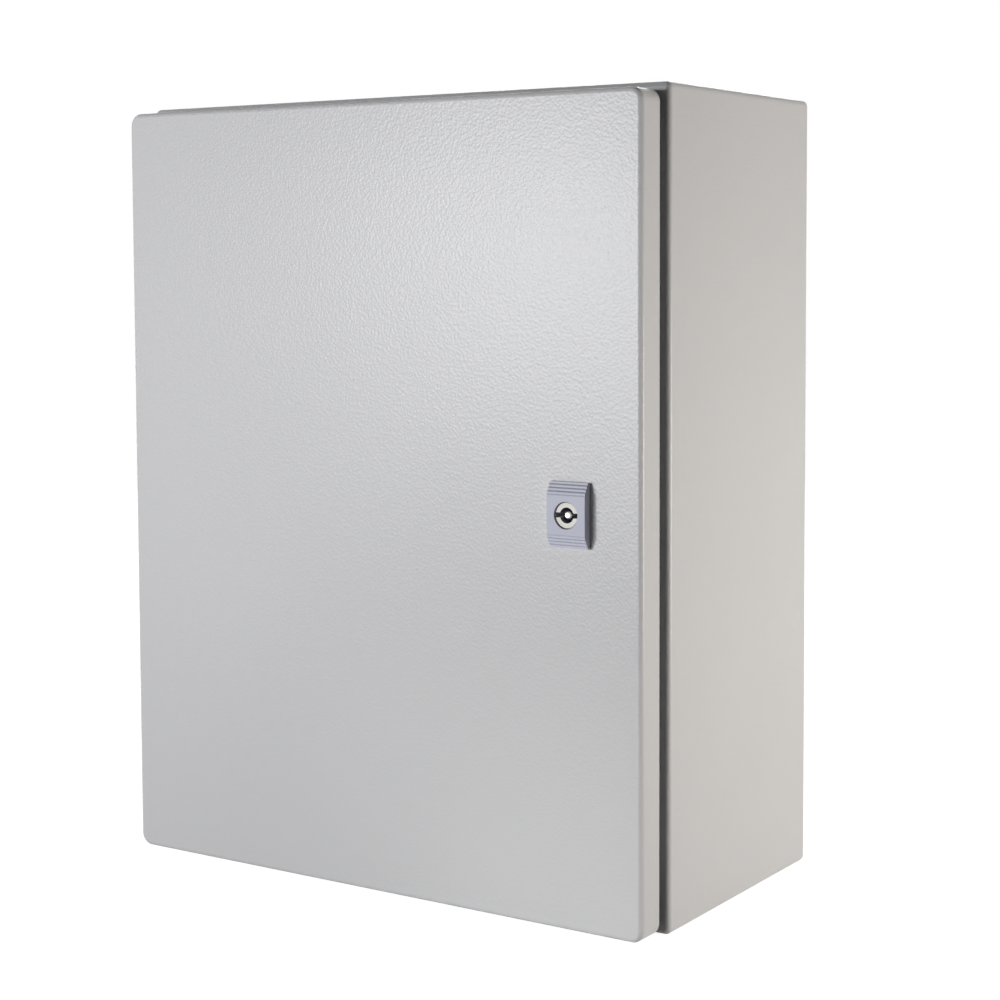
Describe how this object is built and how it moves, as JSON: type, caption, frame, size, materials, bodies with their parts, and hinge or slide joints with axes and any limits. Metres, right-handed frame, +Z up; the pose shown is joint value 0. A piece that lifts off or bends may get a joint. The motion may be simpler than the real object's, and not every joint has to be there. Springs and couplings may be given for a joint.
{
  "type": "electrical enclosure",
  "caption": "Wall-mount sheet-steel cabinet with a hinged, sealed door, a quarter-turn lock, a mounting plate inside and a gland plate in the bottom.",
  "frame": {"origin": "middle of the four wall holes, on the rear face", "axes": "+Z up, +Y out of the rear face into the wall, +X to the right seen from the front"},
  "size_m": [0.4, 0.2164, 0.5],
  "materials": {
    "grey_paint": "light grey textured powder coat",
    "grey_cast": "grey painted die casting",
    "dark_rubber": "matt foam",
    "zinc": "zinc plated",
    "nickel": "satin nickel plated"
  },
  "bodies": {
    "cabinet": {"body_shell": "grey_paint", "front_rim": "grey_paint", "front_frame": "grey_paint", "mounting_plate": "zinc", "plate_studs": "zinc", "plate_spacers": "zinc", "plate_washers": "zinc", "plate_nuts": "zinc", "gland_plate": "grey_paint", "gland_gasket": "dark_rubber", "gland_studs": "zinc", "gland_washers": "zinc", "gland_nuts": "zinc", "upper_hinge_base": "zinc", "lower_hinge_base": "zinc", "hinge_base_screws": "zinc", "hinge_base_nuts": "zinc", "upper_hinge_pin": "nickel", "lower_hinge_pin": "nickel", "body_earth_stud": "zinc", "body_earth_washer": "zinc", "body_earth_nut": "zinc"},
    "door": {"door_panel": "grey_paint", "door_gasket": "dark_rubber", "upper_hinge_leaf": "zinc", "lower_hinge_leaf": "zinc", "lock_housing": "grey_cast", "lock_seal": "dark_rubber", "lock_nut": "zinc", "door_earth_stud": "zinc", "door_earth_washer": "zinc", "door_earth_nut": "zinc"},
    "lock": {"lock_driver": "nickel", "lock_cam": "zinc", "cam_washer": "zinc", "cam_screw": "zinc"}
  },
  "joints": [
    {"name": "door_hinge", "type": "hinge", "parent": "cabinet", "child": "door", "pos_m": [-0.1921, -0.194, 0], "axis": [0, 0, -1], "range_deg": [0, 120]},
    {"name": "lock_turn", "type": "hinge", "parent": "door", "child": "lock", "pos_m": [0.1494, -0.2, -0.0005], "axis": [0, -1, 0], "range_deg": [0, 90]}
  ]
}
